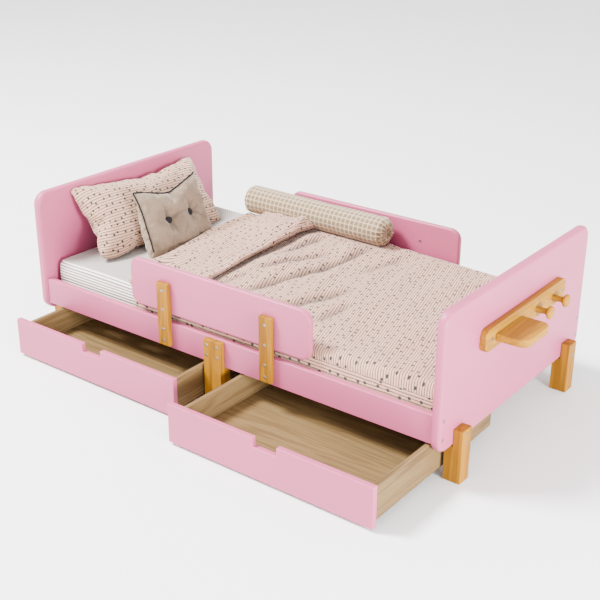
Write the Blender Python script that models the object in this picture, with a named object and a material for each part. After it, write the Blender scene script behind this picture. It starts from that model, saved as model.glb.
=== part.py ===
"""A toddler bed with guard rails, an end shelf with pegs, bedding and two wheeled drawers.

Metres, +Z up.  X runs along the bed from the headboard to the footboard, and -Y is the
side that the drawers open towards.  The origin is the middle of the bottom of the
object's box, with the drawers standing part open.
"""

from math import cos, pi, radians, sin

import bmesh
import bpy
from mathutils import Matrix

# Driving dimensions
BED_LENGTH = 1.420
BED_WIDTH = 0.780
GAP = 0.0003
EASED_EDGE = 0.0015

END_THICKNESS = 0.026
END_BOTTOM = 0.101
END_TOP = 0.477
END_CORNER = 0.040
END_ROUNDING = 0.009

RAIL_THICKNESS = 0.018
RAIL_INSET = 0.008
RAIL_BOTTOM = 0.126
RAIL_TOP = 0.205

LEG_HEIGHT = 0.149
LEG_WIDTH = 0.044
LEG_OUTSIDE = 0.027
LEG_UNDER = 0.023
LEG_SETBACK = 0.068

CENTRE_LEG_HEIGHT = 0.204
CENTRE_LEG_WIDTH = 0.062
CENTRE_LEG_OUTSIDE = 0.018
CENTRE_LEG_UNDER = 0.022

LEDGER_WIDTH = 0.022
LEDGER_HEIGHT = 0.019
SLAT_COUNT = 9
SLAT_WIDTH = 0.068
SLAT_THICKNESS = 0.014

GUARD_LENGTH = 0.638
GUARD_BOTTOM = 0.229
GUARD_TOP = 0.370
GUARD_CORNER = 0.034
GUARD_ROUNDING = 0.006
POST_SPACING = 0.366
POST_WIDTH = 0.042
POST_THICKNESS = 0.015
POST_BOTTOM = 0.136
POST_TOP = 0.325

RACK_LENGTH = 0.442
RACK_BOTTOM = 0.316
RACK_TOP = 0.377
RACK_THICKNESS = 0.018
RACK_CORNER = 0.020
SHELF_FROM = -0.172
SHELF_TO = -0.036
SHELF_DEPTH = 0.084
SHELF_TOP = 0.355
SHELF_THICKNESS = 0.020
SHELF_CORNER = 0.026
RACK_ROUNDING = 0.002
PEG_PLACES = (0.050, 0.145)
PEG_HEIGHT = 0.342
PEG_LENGTH = 0.046
PEG_NECK_RADIUS = 0.0085
PEG_KNOB_RADIUS = 0.0180
PEG_KNOB_LENGTH = 0.015

DRAWER_LENGTH = 0.640
DRAWER_DEPTH = 0.560
DRAWER_BOTTOM = 0.008
DRAWER_TOP = 0.121
DRAWER_FROM_MIDDLE = 0.038
DRAWER_FRONT_THICKNESS = 0.016
DRAWER_BOARD = 0.012
BOARD_BELOW_FRONT = 0.0005
DRAWER_LIP = 0.019
DRAWER_OVERHANG = 0.043
DRAWER_PANEL = 0.005
DRAWER_PANEL_HEIGHT = 0.0405
NOTCH_WIDTH = 0.076
NOTCH_DEPTH = 0.024
NOTCH_CORNER = 0.005
LEFT_DRAWER_OPEN = 0.134
RIGHT_DRAWER_OPEN = 0.236

WHEEL_RADIUS = 0.018
WHEEL_WIDTH = 0.014
AXLE_RADIUS = 0.004
BORE_RADIUS = 0.0044
AXLE_ROOT = 0.006
AXLE_HEAD_RADIUS = 0.0072
AXLE_HEAD = 0.0025
HUB_GAP = 0.0015
RUNNER_WIDTH = 0.018
RUNNER_BOTTOM = 0.008
RUNNER_INSET = 0.078
RUNNER_SHORTER = 0.004
WHEEL_FROM_END = 0.060

MATTRESS_LENGTH = 1.352
MATTRESS_WIDTH = 0.692
MATTRESS_TOP = 0.260
MATTRESS_CORNER = 0.014
DUVET_HEAD_END = -0.435
DUVET_FOOT_END = 0.678
DUVET_WIDTH = 0.722
DUVET_TOP = 0.286
DUVET_HEM = 0.190
DUVET_CORNER = 0.030
FLAP_END = -0.190
FLAP_TOP = 0.304
FLAP_BACK_EDGE = 0.240
FLAP_INSET = 0.010
FLAP_CORNER = 0.008
PILLOW_SIZE = (0.076, 0.510, 0.226)
PILLOW_CENTRE = (-0.600, -0.018, 0.3665)
PILLOW_LEAN = radians(-35.0)
PILLOW_CORNER = 0.034
CUSHION_SIZE = (0.044, 0.276, 0.198)
CUSHION_CENTRE = (-0.4995, -0.025, 0.3615)
CUSHION_LEAN = radians(-22.5)
CUSHION_CORNER = 0.012
BOLSTER_RADIUS = 0.046
BOLSTER_ENDS = (-0.4465, 0.105)
BOLSTER_DISTANCE = 0.305
BOLSTER_DOME = 0.022
SOFT_GAP = 0.001

# Places worked out from the dimensions
RAIL_FACE = BED_WIDTH / 2 - RAIL_INSET
RAIL_BACK = RAIL_FACE - RAIL_THICKNESS
SLAT_END = RAIL_BACK - 0.001
END_FACE = BED_LENGTH / 2
END_BACK = END_FACE - END_THICKNESS
LEDGER_BOTTOM = RAIL_BOTTOM + 0.001
SLAT_BOTTOM = LEDGER_BOTTOM + LEDGER_HEIGHT + GAP
SLAT_TOP = SLAT_BOTTOM + SLAT_THICKNESS
RACK_FACE = END_FACE + RACK_THICKNESS
MIDDLE_X = (RACK_FACE + SHELF_DEPTH - END_FACE - LEG_OUTSIDE) / 2
MIDDLE_Y = (BED_WIDTH / 2 - RAIL_FACE - RIGHT_DRAWER_OPEN) / 2

# Planes that an outline is drawn in: along the bed, across it, and level
ALONG = Matrix(((1, 0, 0), (0, 0, -1), (0, 1, 0))).to_4x4()
ACROSS = Matrix(((0, 0, 1), (1, 0, 0), (0, 1, 0))).to_4x4()
LEVEL = Matrix.Identity(4)


def clear_scene():
    for item in list(bpy.data.objects):
        bpy.data.objects.remove(item, do_unlink=True)


def material(name, colour, roughness, metallic=0.0):
    made = bpy.data.materials.new(name)
    made.use_nodes = True
    shader = made.node_tree.nodes["Principled BSDF"]
    shader.inputs["Base Color"].default_value = (*colour, 1.0)
    shader.inputs["Roughness"].default_value = roughness
    shader.inputs["Metallic"].default_value = metallic
    return made


def empty(name, location, parent=None):
    marker = bpy.data.objects.new(name, None)
    marker.location = location
    marker.parent = parent
    bpy.context.collection.objects.link(marker)
    return marker


def add(name, shape, finish, location, parent):
    """Make an object from a finished bmesh."""
    mesh = bpy.data.meshes.new(name)
    bmesh.ops.recalc_face_normals(shape, faces=shape.faces)
    shape.to_mesh(mesh)
    shape.free()
    mesh.materials.append(finish)
    made = bpy.data.objects.new(name, mesh)
    made.location = location
    made.parent = parent
    bpy.context.collection.objects.link(made)
    return made


def ease(piece, width=EASED_EDGE, segments=1):
    """Round the sharp edges of a piece."""
    bevel = piece.modifiers.new("eased_edges", "BEVEL")
    bevel.limit_method = "ANGLE"
    bevel.angle_limit = radians(32)
    bevel.width = width
    bevel.segments = segments
    return piece


def box(size):
    shape = bmesh.new()
    bmesh.ops.create_cube(shape, size=1.0)
    bmesh.ops.scale(shape, vec=size, verts=shape.verts)
    return shape


def board(name, low, high, finish, parent):
    """A rectangular board between two opposite corners."""
    size = [b - a for a, b in zip(low, high)]
    centre = [(a + b) / 2 for a, b in zip(low, high)]
    return ease(add(name, box(size), finish, centre, parent))


def arc(centre, radius, start, end, steps):
    return [(centre[0] + radius * cos(start + (end - start) * i / steps),
             centre[1] + radius * sin(start + (end - start) * i / steps))
            for i in range(steps + 1)]


def rounded_rectangle(low, high, radii, steps=8):
    """Corners in turn: low-low, high-low, high-high, low-high; a radius of 0 is square."""
    (u0, v0), (u1, v1) = low, high
    corners = ((u0, v0, 1, 1), (u1, v0, -1, 1), (u1, v1, -1, -1), (u0, v1, 1, -1))
    points = []
    for i, (u, v, su, sv) in enumerate(corners):
        radius = radii[i]
        if radius:
            start = pi + i * pi / 2
            points += arc((u + su * radius, v + sv * radius), radius, start, start + pi / 2, steps)
        else:
            points.append((u, v))
    return points


def prism(outline, depth, plane):
    """A closed solid from a counter-clockwise outline, drawn in a plane."""
    shape = bmesh.new()
    lower = [shape.verts.new((u, v, 0)) for u, v in outline]
    upper = [shape.verts.new((u, v, depth)) for u, v in outline]
    shape.faces.new(lower[::-1])
    shape.faces.new(upper)
    for i in range(len(outline)):
        j = (i + 1) % len(outline)
        shape.faces.new((lower[i], lower[j], upper[j], upper[i]))
    bmesh.ops.transform(shape, matrix=plane, verts=shape.verts)
    return shape


def turned(profile, segments):
    """Turn (distance along X, radius) points round the X axis; radius 0 closes an end."""
    shape = bmesh.new()
    rings = []
    for x, radius in profile:
        if radius:
            turns = [2 * pi * i / segments for i in range(segments)]
            rings.append([shape.verts.new((x, radius * sin(a), -radius * cos(a))) for a in turns])
        else:
            rings.append([shape.verts.new((x, 0, 0))] * segments)
    loops = list(zip(rings, rings[1:]))
    if profile[0][1]:
        loops.append((rings[-1], rings[0]))
    for one, two in loops:
        for i in range(segments):
            j = (i + 1) % segments
            corners = dict.fromkeys((one[i], one[j], two[j], two[i]))
            shape.faces.new(corners)
    for face in shape.faces:
        face.smooth = True
    return shape


def union(piece, other):
    """Fuse another object into a piece and hide the other one."""
    joined = piece.modifiers.new("join_" + other.name, "BOOLEAN")
    joined.operation = "UNION"
    joined.solver = "EXACT"
    joined.object = other
    other.hide_render = True
    other.display_type = "WIRE"


def end_panels(bed, paint):
    half = BED_WIDTH / 2
    outline = rounded_rectangle((-half, END_BOTTOM), (half, END_TOP), [END_CORNER] * 4, 9)
    for name, x in (("headboard_panel", -END_FACE), ("footboard_panel", END_BACK)):
        panel = add(name, prism(outline, END_THICKNESS, ACROSS), paint, (x, 0, 0), bed)
        ease(panel, END_ROUNDING, 4)


def side_frame(bed, paint, wood, slat_wood):
    """The two side rails, the ledgers screwed inside them and the slats across."""
    reach = END_BACK - GAP
    for name, side in (("front", -1), ("back", 1)):
        faces = sorted((side * RAIL_FACE, side * RAIL_BACK))
        board(name + "_side_rail", (-reach, faces[0], RAIL_BOTTOM),
              (reach, faces[1], RAIL_TOP), paint, bed)
        inner = side * (RAIL_BACK - GAP)
        faces = sorted((inner, inner - side * LEDGER_WIDTH))
        board(name + "_slat_ledger", (-reach, faces[0], LEDGER_BOTTOM),
              (reach, faces[1], LEDGER_BOTTOM + LEDGER_HEIGHT), wood, bed)
    pitch = 2 * END_BACK / SLAT_COUNT
    for i in range(SLAT_COUNT):
        x = (i - (SLAT_COUNT - 1) / 2) * pitch
        board(f"slat_{i + 1}", (x - SLAT_WIDTH / 2, -SLAT_END, SLAT_BOTTOM),
              (x + SLAT_WIDTH / 2, SLAT_END, SLAT_TOP), slat_wood, bed)


def corner_legs(bed, wood):
    """Each leg is notched: it stands outside its end panel and steps in under it."""
    outline = [(-LEG_UNDER, 0), (LEG_OUTSIDE, 0), (LEG_OUTSIDE, LEG_HEIGHT), (GAP, LEG_HEIGHT),
               (GAP, END_BOTTOM - GAP), (-LEG_UNDER, END_BOTTOM - GAP)]
    middle = BED_WIDTH / 2 - LEG_SETBACK - LEG_WIDTH / 2
    for end, along in (("head", -1), ("foot", 1)):
        for side, across in (("front", -1), ("back", 1)):
            shape = prism(outline, LEG_WIDTH, ALONG)
            bmesh.ops.scale(shape, vec=(along, 1, 1), verts=shape.verts)
            place = (along * END_FACE, across * middle + LEG_WIDTH / 2, 0)
            ease(add(f"{end}_{side}_leg", shape, wood, place, bed))


def centre_legs(bed, wood):
    """A wide leg on each side rail, notched so that the rail stands on it."""
    shelf = RAIL_BOTTOM - GAP
    outline = [(-CENTRE_LEG_UNDER, 0), (CENTRE_LEG_OUTSIDE, 0),
               (CENTRE_LEG_OUTSIDE, CENTRE_LEG_HEIGHT), (GAP, CENTRE_LEG_HEIGHT),
               (GAP, shelf), (-CENTRE_LEG_UNDER, shelf)]
    for name, side in (("front", -1), ("back", 1)):
        shape = prism(outline, CENTRE_LEG_WIDTH, ACROSS)
        bmesh.ops.scale(shape, vec=(1, side, 1), verts=shape.verts)
        place = (-CENTRE_LEG_WIDTH / 2, side * RAIL_FACE, 0)
        ease(add(name + "_centre_leg", shape, wood, place, bed))


def guard_rails(bed, paint, wood):
    """A guard panel over each side rail, on two posts outside the rail."""
    half = GUARD_LENGTH / 2
    outline = rounded_rectangle((-half, GUARD_BOTTOM), (half, GUARD_TOP), [GUARD_CORNER] * 4, 7)
    for name, side in (("front", -1), ("back", 1)):
        far = max(side * RAIL_FACE, side * RAIL_BACK)
        panel = add(name + "_guard_panel", prism(outline, RAIL_THICKNESS, ALONG), paint,
                    (0, far, 0), bed)
        ease(panel, GUARD_ROUNDING, 3)
        faces = sorted((side * (RAIL_FACE + GAP), side * (RAIL_FACE + POST_THICKNESS)))
        for end, along in (("head", -1), ("foot", 1)):
            x = along * POST_SPACING / 2
            board(f"{name}_guard_post_{end}", (x - POST_WIDTH / 2, faces[0], POST_BOTTOM),
                  (x + POST_WIDTH / 2, faces[1], POST_TOP), wood, bed)


def end_rack(bed, wood):
    """A backplate on the footboard with a small shelf and mushroom pegs."""
    half = RACK_LENGTH / 2
    outline = rounded_rectangle((-half, RACK_BOTTOM), (half, RACK_TOP), [RACK_CORNER] * 4, 6)
    plate = prism(outline, RACK_THICKNESS - GAP, ACROSS)
    ease(add("rack_backplate", plate, wood, (END_FACE + GAP, 0, 0), bed), RACK_ROUNDING, 2)
    outline = rounded_rectangle((GAP, SHELF_FROM), (SHELF_DEPTH, SHELF_TO),
                                (0, SHELF_CORNER, SHELF_CORNER, 0), 6)
    shelf = prism(outline, SHELF_THICKNESS, LEVEL)
    place = (RACK_FACE, 0, SHELF_TOP - SHELF_THICKNESS)
    ease(add("rack_shelf", shelf, wood, place, bed), RACK_ROUNDING, 2)
    for i, y in enumerate(PEG_PLACES):
        place = (RACK_FACE, y, PEG_HEIGHT)
        peg = add(f"rack_peg_{i + 1}", turned(peg_profile(), 24), wood, place, bed)
        peg.data.set_sharp_from_angle(angle=radians(40))


def peg_profile():
    """A plain neck that flares into a domed knob."""
    root = PEG_LENGTH - PEG_KNOB_LENGTH
    waist = PEG_NECK_RADIUS
    knob = PEG_KNOB_RADIUS
    return [(GAP, 0), (GAP, waist), (root * 0.8, waist * 0.9), (root, waist * 1.25),
            (root + 0.002, knob * 0.82), (root + 0.005, knob), (PEG_LENGTH - 0.005, knob * 0.97),
            (PEG_LENGTH - 0.0015, knob * 0.72), (PEG_LENGTH, knob * 0.3), (PEG_LENGTH, 0)]


def drawer_front_outline():
    """The front board with the finger notch in its top edge."""
    half = DRAWER_LENGTH / 2
    side = NOTCH_WIDTH / 2
    floor = DRAWER_TOP - NOTCH_DEPTH
    r = NOTCH_CORNER
    right = arc((side - r, floor + r), r, 0, -pi / 2, 4)
    left = arc((r - side, floor + r), r, -pi / 2, -pi, 4)
    return ([(-half, DRAWER_BOTTOM), (half, DRAWER_BOTTOM), (half, DRAWER_TOP), (side, DRAWER_TOP)]
            + right + left + [(-side, DRAWER_TOP), (-half, DRAWER_TOP)])


def drawer(bed, name, centre, opened, paint, carcass, wood, rubber):
    """One drawer on four wheels; its empty sits at the middle of the front's outer face."""
    base = empty(name, (centre, -RAIL_FACE - opened, 0), bed)
    front = prism(drawer_front_outline(), DRAWER_FRONT_THICKNESS, ALONG)
    ease(add(name + "_front", front, paint, (0, DRAWER_FRONT_THICKNESS, 0), base), EASED_EDGE, 2)

    left = DRAWER_OVERHANG - DRAWER_LENGTH / 2
    right = DRAWER_LENGTH / 2
    near = DRAWER_FRONT_THICKNESS + GAP
    low = DRAWER_BOTTOM + DRAWER_LIP
    high = DRAWER_TOP - BOARD_BELOW_FRONT
    for side, x in (("left", left), ("right", right - DRAWER_BOARD)):
        board(f"{name}_{side}_side", (x, near, low), (x + DRAWER_BOARD, DRAWER_DEPTH, high),
              carcass, base)
    inner = (left + DRAWER_BOARD + GAP, right - DRAWER_BOARD - GAP)
    back = DRAWER_DEPTH - DRAWER_BOARD
    board(name + "_back", (inner[0], back, low), (inner[1], DRAWER_DEPTH, high), carcass, base)
    board(name + "_bottom", (inner[0], near, DRAWER_PANEL_HEIGHT),
          (inner[1], back - GAP, DRAWER_PANEL_HEIGHT + DRAWER_PANEL), carcass, base)
    for side, x, out in (("left", left + RUNNER_INSET, -1), ("right", right - RUNNER_INSET, 1)):
        wheel_runner(base, f"{name}_{side}", x, out, near, back, wood, rubber)


def wheel_runner(base, name, x, out, near, back, wood, rubber):
    """A batten under the drawer bottom, with two headed axles that each carry a wheel."""
    high = DRAWER_PANEL_HEIGHT - GAP
    ends = (near + RUNNER_SHORTER, back - RUNNER_SHORTER)
    runner = board(name + "_runner", (x - RUNNER_WIDTH / 2, ends[0], RUNNER_BOTTOM),
                   (x + RUNNER_WIDTH / 2, ends[1], high), wood, base)
    face = RUNNER_WIDTH / 2
    for end, y in (("front", near + WHEEL_FROM_END), ("back", back - WHEEL_FROM_END)):
        axle = add(f"{name}_{end}_axle", turned(axle_profile(face), 16), wood,
                   (x, y, WHEEL_RADIUS), base)
        axle.scale.x = out
        union(runner, axle)
        middle = face + HUB_GAP + WHEEL_WIDTH / 2
        wheel = add(f"{name}_{end}_wheel", turned(wheel_profile(), 20), rubber,
                    (x + out * middle, y, WHEEL_RADIUS), base)
        wheel.data.set_sharp_from_angle(angle=radians(40))


def axle_profile(face):
    """From inside the batten out through the wheel to a flat head."""
    root = face - AXLE_ROOT
    head = face + WHEEL_WIDTH + 2 * HUB_GAP
    end = head + AXLE_HEAD
    return [(root, 0), (root, AXLE_RADIUS), (head, AXLE_RADIUS),
            (head, AXLE_HEAD_RADIUS), (end, AXLE_HEAD_RADIUS), (end, 0)]


def wheel_profile():
    """A wheel with a raised hub, a dished web and a rounded tread."""
    half = WHEEL_WIDTH / 2
    web = half * 0.6
    hub = BORE_RADIUS + 0.003
    rim = WHEEL_RADIUS - 0.0045
    tread = WHEEL_RADIUS - 0.0015
    side = [(half, BORE_RADIUS), (half, hub), (web, hub + 0.001), (web, rim - 0.001),
            (half, rim), (half, tread), (half - 0.002, WHEEL_RADIUS)]
    return side + [(-x, radius) for x, radius in side[::-1]]


def soft_block(name, size, centre, lean, corner, finish, bed, segments=4):
    block = add(name, box(size), finish, centre, bed)
    block.rotation_euler.y = lean
    return ease(block, corner, segments)


def mattress_and_duvet(bed, sheet, cover):
    size = (MATTRESS_LENGTH, MATTRESS_WIDTH, MATTRESS_TOP - SLAT_TOP - GAP)
    centre = (0, 0, (MATTRESS_TOP + SLAT_TOP + GAP) / 2)
    soft_block("mattress", size, centre, 0, MATTRESS_CORNER, sheet, bed)

    half = DUVET_WIDTH / 2
    hollow = MATTRESS_WIDTH / 2 + SOFT_GAP
    ceiling = MATTRESS_TOP + SOFT_GAP
    r = DUVET_CORNER
    outline = ([(-hollow, DUVET_HEM), (-hollow, ceiling), (hollow, ceiling), (hollow, DUVET_HEM),
                (half, DUVET_HEM)]
               + arc((half - r, DUVET_TOP - r), r, 0, pi / 2, 5)
               + arc((r - half, DUVET_TOP - r), r, pi / 2, pi, 5)
               + [(-half, DUVET_HEM)])
    shape = prism(outline, DUVET_FOOT_END - DUVET_HEAD_END, ACROSS)
    duvet = add("duvet", shape, cover, (DUVET_HEAD_END, 0, 0), bed)

    low = DUVET_TOP - FLAP_INSET
    ends = (DUVET_HEAD_END + FLAP_INSET, FLAP_END)
    sides = (FLAP_INSET - half, FLAP_BACK_EDGE)
    size = (ends[1] - ends[0], sides[1] - sides[0], FLAP_TOP - low)
    centre = (sum(ends) / 2, sum(sides) / 2, (FLAP_TOP + low) / 2)
    flap = soft_block("duvet_flap", size, centre, 0, FLAP_CORNER, cover, bed, 3)
    union(duvet, flap)


def cushions(bed, cover, velvet, check):
    soft_block("pillow", PILLOW_SIZE, PILLOW_CENTRE, PILLOW_LEAN, PILLOW_CORNER, cover, bed)
    soft_block("button_cushion", CUSHION_SIZE, CUSHION_CENTRE, CUSHION_LEAN, CUSHION_CORNER,
               velvet, bed)
    start, end = BOLSTER_ENDS
    radius = BOLSTER_RADIUS
    turns = [pi / 2 * i / 4 for i in range(3, -1, -1)]
    dome = [(BOLSTER_DOME * (1 - sin(a)), radius * cos(a) ** 0.5) for a in turns]
    profile = [(0, 0)] + dome
    length = end - start
    profile += [(length - x, r) for x, r in profile[::-1]]
    place = (start, BOLSTER_DISTANCE, DUVET_TOP + SOFT_GAP + radius)
    add("bolster", turned(profile, 32), check, place, bed)


def build():
    clear_scene()
    paint = material("pink_paint", (0.85, 0.50, 0.60), 0.38)
    wood = material("honey_pine", (0.72, 0.38, 0.11), 0.45)
    slat_wood = material("pale_pine", (0.70, 0.52, 0.32), 0.6)
    carcass = material("oak_board", (0.58, 0.43, 0.26), 0.5)
    rubber = material("grey_wheel", (0.10, 0.10, 0.11), 0.6)
    sheet = material("white_cotton", (0.72, 0.69, 0.66), 0.9)
    cover = material("striped_cotton", (0.78, 0.66, 0.60), 0.9)
    velvet = material("taupe_velvet", (0.42, 0.33, 0.25), 0.9)
    check = material("checked_linen", (0.62, 0.52, 0.38), 0.9)

    bed = empty("bed", (-MIDDLE_X, -MIDDLE_Y, 0))
    end_panels(bed, paint)
    side_frame(bed, paint, wood, slat_wood)
    corner_legs(bed, wood)
    centre_legs(bed, wood)
    guard_rails(bed, paint, wood)
    end_rack(bed, wood)
    middle = DRAWER_FROM_MIDDLE + DRAWER_LENGTH / 2
    drawer(bed, "left_drawer", -middle, LEFT_DRAWER_OPEN, paint, carcass, wood, rubber)
    drawer(bed, "right_drawer", middle, RIGHT_DRAWER_OPEN, paint, carcass, wood, rubber)
    mattress_and_duvet(bed, sheet, cover)
    cushions(bed, cover, velvet, check)


build()
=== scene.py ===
"""Looks of the toddler bed: paint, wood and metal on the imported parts, and the soft bedding.

Places are given from the middle of the bed at floor level, in metres: X runs from the
headboard to the footboard, and -Y is the side that the drawers open towards.
"""

from math import atan2, cos, pi, radians, sin, tan

import bpy
import numpy as np
from mathutils import Matrix, Vector, noise


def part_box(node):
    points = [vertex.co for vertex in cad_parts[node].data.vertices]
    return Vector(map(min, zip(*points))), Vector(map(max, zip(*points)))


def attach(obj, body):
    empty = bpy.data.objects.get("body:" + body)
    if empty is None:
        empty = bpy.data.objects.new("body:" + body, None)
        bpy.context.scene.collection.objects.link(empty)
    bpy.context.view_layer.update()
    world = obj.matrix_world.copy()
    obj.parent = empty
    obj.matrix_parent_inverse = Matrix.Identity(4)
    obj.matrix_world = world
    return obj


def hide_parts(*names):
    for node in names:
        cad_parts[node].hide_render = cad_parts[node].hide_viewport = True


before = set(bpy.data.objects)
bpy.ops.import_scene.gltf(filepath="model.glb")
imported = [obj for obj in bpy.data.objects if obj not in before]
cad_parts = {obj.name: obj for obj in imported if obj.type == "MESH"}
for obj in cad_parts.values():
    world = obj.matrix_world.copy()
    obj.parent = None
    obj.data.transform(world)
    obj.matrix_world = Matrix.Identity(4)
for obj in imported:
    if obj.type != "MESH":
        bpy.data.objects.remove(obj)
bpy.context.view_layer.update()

BODY = "bed"

HEAD_LOW, HEAD_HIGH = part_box("headboard_panel")
FOOT_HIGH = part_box("footboard_panel")[1]
MATTRESS_LOW, MATTRESS_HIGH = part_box("mattress")
DUVET_LOW, DUVET_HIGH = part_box("duvet")
MIDDLE = Vector(((HEAD_LOW.x + FOOT_HIGH.x) / 2, (HEAD_LOW.y + HEAD_HIGH.y) / 2, 0))
ON_MATTRESS = MATTRESS_HIGH.z + 0.0005


def at(x, y, z):
    """A place on the bed, in the frame."""
    return Vector((x, y, z)) + MIDDLE


# -------- node helpers

def node(nt, kind, inputs=None, **settings):
    """Add a shader node to the node tree nt; an input is a value or another node's socket."""
    made = nt.nodes.new("ShaderNode" + kind)
    for key, value in settings.items():
        setattr(made, key, value)
    for key, value in (inputs or {}).items():
        if isinstance(value, bpy.types.NodeSocket):
            nt.links.new(value, made.inputs[key])
        else:
            made.inputs[key].default_value = value
    return made


def maths(nt, operation, a, b=0.0, c=0.0):
    return node(nt, "Math", {0: a, 1: b, 2: c}, operation=operation).outputs[0]


def times(nt, a, b):
    return maths(nt, "MULTIPLY", a, b)


def linear(nt, value, slope, start):
    return maths(nt, "MULTIPLY_ADD", value, slope, start)


def wide(colour):
    return (*colour, 1.0) if isinstance(colour, tuple) else colour


def shaded(colour, factor):
    """A colour made darker or paler."""
    return tuple(min(1.0, c * factor) for c in colour)


def blend(nt, factor, a, b):
    """Mix two colours or colour sockets."""
    return node(nt, "Mix", {0: factor, 6: wide(a), 7: wide(b)}, data_type="RGBA").outputs[2]


def tinge(nt, tint, mask, share, colour):
    """Lay a share of a colour over a tint where the mask is 1."""
    return blend(nt, times(nt, mask, share), tint, colour)


def ramp(nt, value, low, high):
    """Map a value from low..high to 0..1, smoothly and clamped."""
    made = node(nt, "MapRange", {"Value": value, "From Min": low, "From Max": high},
                interpolation_type="SMOOTHSTEP")
    return made.outputs["Result"]


def coordinates(nt, scale=(1, 1, 1)):
    """The part's own coordinates, stretched along each axis."""
    place = node(nt, "TexCoord").outputs["Object"]
    return node(nt, "Mapping", {"Vector": place, "Scale": scale}).outputs["Vector"]


def grainy(nt, vector, scale, detail=4.0, roughness=0.5, distortion=0.0):
    made = node(nt, "TexNoise", {"Vector": vector, "Scale": scale, "Detail": detail,
                                 "Roughness": roughness, "Distortion": distortion})
    return made.outputs["Fac"]


def cloudy(nt, vector, scale, detail, low, high):
    """Patches of noise with a soft threshold."""
    return ramp(nt, grainy(nt, vector, scale, detail), low, high)


def bump(nt, height, distance, strength, normal=None):
    inputs = {"Height": height, "Distance": distance, "Strength": strength}
    if normal is not None:
        inputs["Normal"] = normal
    return node(nt, "Bump", inputs).outputs["Normal"]


def edges(nt, radius):
    """1 along the edges of a piece and 0 on its faces."""
    rounded = node(nt, "Bevel", {"Radius": radius}, samples=4).outputs["Normal"]
    flat = node(nt, "NewGeometry").outputs["Normal"]
    turn = node(nt, "VectorMath", {0: rounded, 1: flat}, operation="DOT_PRODUCT").outputs["Value"]
    return ramp(nt, turn, 0.995, 0.90)


def material(name, **sockets):
    """A new material and its nodes, with plain values set on its shader."""
    made = bpy.data.materials.new(name)
    made.use_nodes = True
    for key, value in sockets.items():
        key = key.replace("_", " ").title().replace("Ior", "IOR")
        made.node_tree.nodes["Principled BSDF"].inputs[key].default_value = value
    return made, made.node_tree


def looks(made, colour, normal=None, roughness=None):
    """The material with its colour, bumps and roughness taken from other nodes."""
    nt = made.node_tree
    for key, value in (("Base Color", colour), ("Normal", normal), ("Roughness", roughness)):
        if value is not None:
            nt.links.new(value, nt.nodes["Principled BSDF"].inputs[key])
    return made


# -------- hard finishes

def painted(name, colour, edge_wear_and_highlight_colour):
    """Satin paint: a faint roller texture, slow tint changes, and paler edges in patches, partly rubbed
    wear and partly painted highlight where the rounded edges catch the light.
    """
    made, nt = material(name, coat_weight=0.05, coat_roughness=0.28, specular_ior_level=0.36)
    place = coordinates(nt)
    cloud = cloudy(nt, place, 3.0, 3.0, 0.3, 0.7)
    tint = blend(nt, cloud, colour, shaded(colour, 0.93))
    # Painted highlight and wear: the edges are painted paler in patches.
    worn_and_highlit = times(nt, edges(nt, 0.004), cloudy(nt, place, 35.0, 4.0, 0.2, 0.75))
    tint = tinge(nt, tint, worn_and_highlit, 0.8, edge_wear_and_highlight_colour)
    speck = grainy(nt, place, 260.0, 2.0)
    peel = maths(nt, "ADD", grainy(nt, place, 420.0, 2.0), grainy(nt, place, 90.0, 2.0))
    return looks(made, tint, bump(nt, peel, 0.0004, 0.25), linear(nt, speck, 0.10, 0.40))


def wooden(name, along, pale, dark, roughness=0.5):
    """Planed wood with growth rings, fibres and pores drawn out along one axis."""
    drawn_out = 0.07
    stretch = tuple(drawn_out if axis == along else 1.0 for axis in "xyz")
    made, nt = material(name, specular_ior_level=0.12)
    place = coordinates(nt, stretch)
    piece = node(nt, "ObjectInfo").outputs["Random"]
    shift = node(nt, "CombineXYZ", {0: times(nt, piece, 3.1), 1: times(nt, piece, 1.7),
                                    2: piece}).outputs[0]
    moved = node(nt, "VectorMath", {0: place, 1: shift}, operation="ADD").outputs[0]
    rings = grainy(nt, moved, 22.0, 2.0, 0.5, 1.2)
    bands = maths(nt, "PINGPONG", times(nt, rings, 9.0), 1.0)
    fibre = grainy(nt, moved, 260.0, 5.0, 0.65)
    pores = ramp(nt, grainy(nt, moved, 620.0, 3.0, 0.7), 0.60, 0.72)
    tint = blend(nt, ramp(nt, bands, 0.15, 0.95), pale, dark)
    tint = tinge(nt, tint, ramp(nt, fibre, 0.35, 0.7), 0.35, shaded(dark, 0.62))
    tint = tinge(nt, tint, pores, 0.35, shaded(dark, 0.4))
    tint = tinge(nt, tint, cloudy(nt, place, 6.0, 2.0, 0.35, 0.75), 0.3, shaded(pale, 1.25))
    # Painted highlight: the eased edges are painted paler, as where they catch the light.
    tint = tinge(nt, tint, edges(nt, 0.0025), 0.35, shaded(pale, 1.3))
    height = maths(nt, "ADD", times(nt, fibre, 0.6), times(nt, pores, -0.7))
    return looks(made, tint, bump(nt, height, 0.0006, 0.35),
                 linear(nt, fibre, 0.22, roughness - 0.1))


def moulded(name, colour):
    """Moulded plastic with a fine texture and dust in its rubbed places."""
    dusty = tuple(c * 2.2 + 0.05 for c in colour)
    made, nt = material(name)
    place = coordinates(nt)
    dust = cloudy(nt, place, 60.0, 4.0, 0.45, 0.75)
    return looks(made, tinge(nt, colour, dust, 0.35, dusty),
                 bump(nt, grainy(nt, place, 900.0, 2.0), 0.0003, 0.3),
                 linear(nt, dust, 0.25, 0.45))


def trimming():
    """Tightly woven black cotton, for the piping and the covered buttons."""
    made, nt = material("black_trim", roughness=0.75, specular_ior_level=0.2)
    thread = grainy(nt, coordinates(nt), 1400.0, 3.0)
    tint = blend(nt, thread, (0.004, 0.004, 0.005), (0.016, 0.016, 0.018))
    return looks(made, tint, bump(nt, thread, 0.0004, 0.4))


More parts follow.
